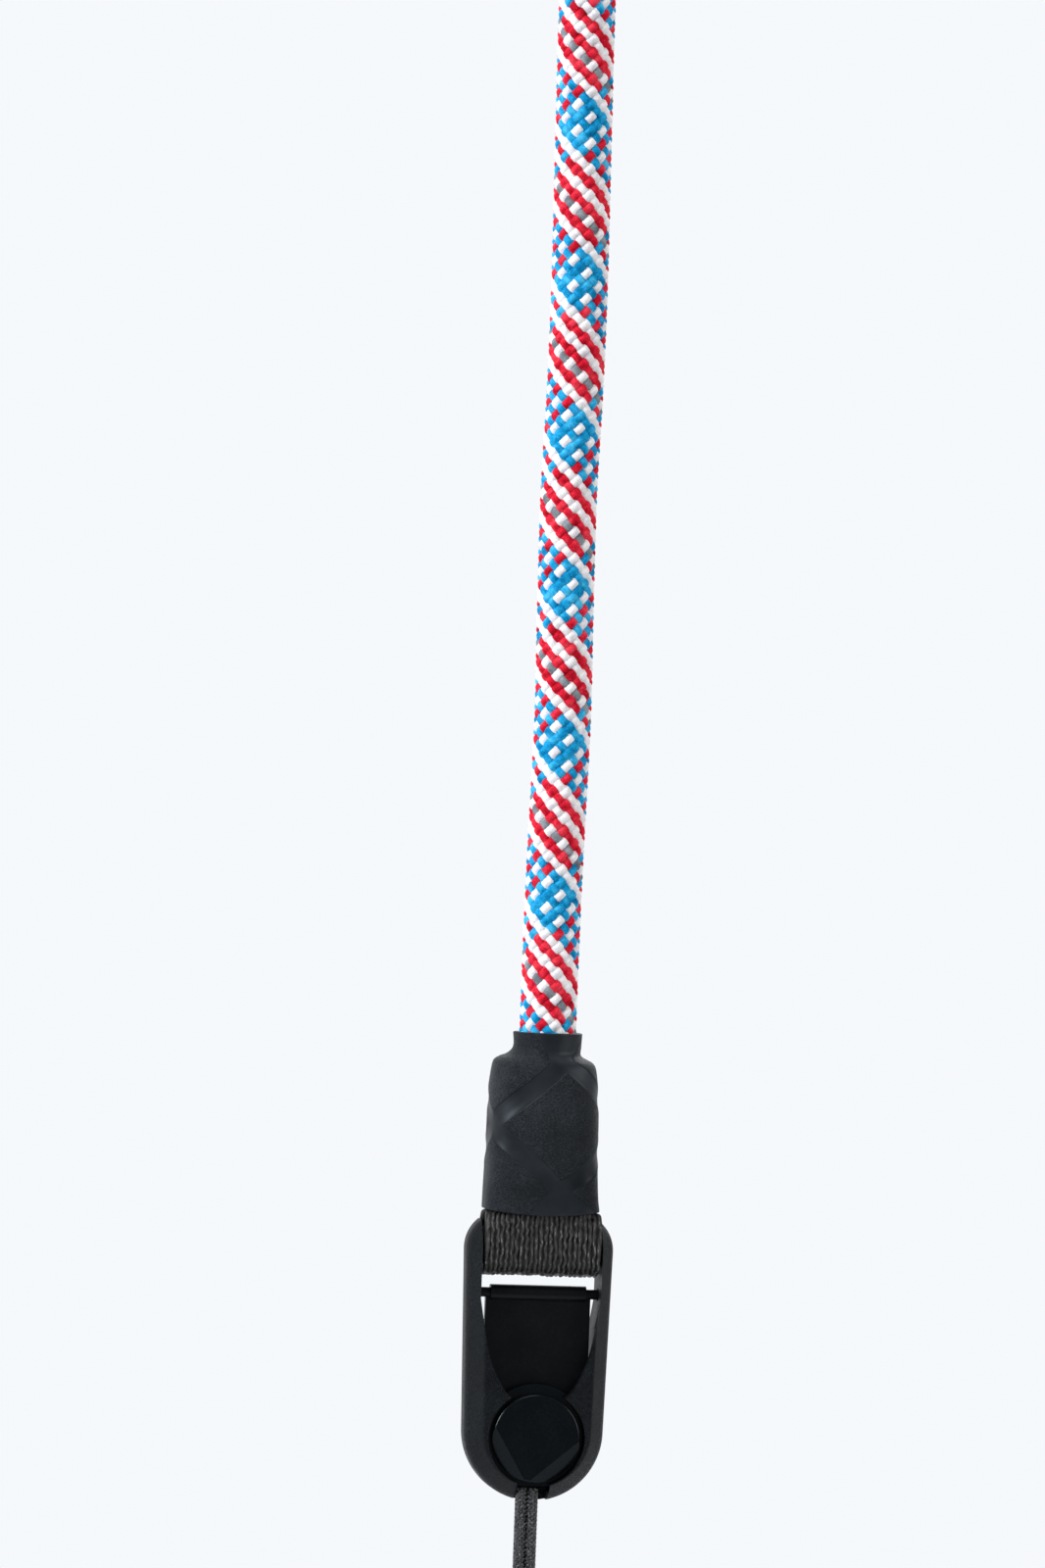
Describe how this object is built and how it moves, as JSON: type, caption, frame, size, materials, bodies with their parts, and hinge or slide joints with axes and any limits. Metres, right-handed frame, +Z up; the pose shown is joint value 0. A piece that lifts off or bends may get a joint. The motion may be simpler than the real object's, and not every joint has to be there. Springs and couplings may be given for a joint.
{
  "type": "camera neck strap",
  "caption": "Round braided rope strap worn on the neck, with a black quick-release link, press-in button and thin cord loop at each end.",
  "frame": {"origin": "the point of the rope's inner side at the nape, where the strap sits on the wearer's neck", "axes": "+Z up; -Y the way the wearer faces; +X to the wearer's left, where the end in the picture hangs"},
  "size_m": [0.1426, 0.1293, 0.5376],
  "materials": {
    "rope": "round braid in blue, red, white and grey",
    "sleeve": "shrunk tube, grained diamonds between smooth bands",
    "webbing": "coarse ribbed weave",
    "housing": "fine grain",
    "gloss_parts": "polished",
    "anchor_cord": "fine braid"
  },
  "bodies": {
    "strap": {"rope": "rope", "right_sleeve": "sleeve", "right_webbing": "webbing", "right_housing": "housing", "left_sleeve": "sleeve", "left_webbing": "webbing", "left_housing": "housing"},
    "right_anchor": {"right_anchor_disc": "gloss_parts", "right_anchor_cord": "anchor_cord"},
    "right_tongue": {"right_flap": "gloss_parts"},
    "left_anchor": {"left_anchor_disc": "gloss_parts", "left_anchor_cord": "anchor_cord"},
    "left_tongue": {"left_flap": "gloss_parts"}
  },
  "joints": [
    {"name": "right_disc_press", "type": "slide", "parent": "strap", "child": "right_anchor", "axis": [-0.1477, 0.989, 0.0054], "range_m": [0, 0.002], "stiffness_N_per_m": 400},
    {"name": "right_flap_hinge", "type": "hinge", "parent": "strap", "child": "right_tongue", "pos_m": [0.05443, -0.11156, -0.45996], "axis": [0.9884, 0.1478, -0.0362], "range_deg": [0, 7.6]},
    {"name": "left_disc_press", "type": "slide", "parent": "strap", "child": "left_anchor", "axis": [0.1477, 0.989, 0.0054], "range_m": [0, 0.002], "stiffness_N_per_m": 400},
    {"name": "left_flap_hinge", "type": "hinge", "parent": "strap", "child": "left_tongue", "pos_m": [-0.05443, -0.11156, -0.45996], "axis": [0.9884, -0.1478, 0.0362], "range_deg": [0, 7.6]}
  ],
  "couplings": [
    {"joint": "right_flap_hinge", "follows": "right_disc_press", "rad_per_m": 66},
    {"joint": "left_flap_hinge", "follows": "left_disc_press", "rad_per_m": 66}
  ]
}
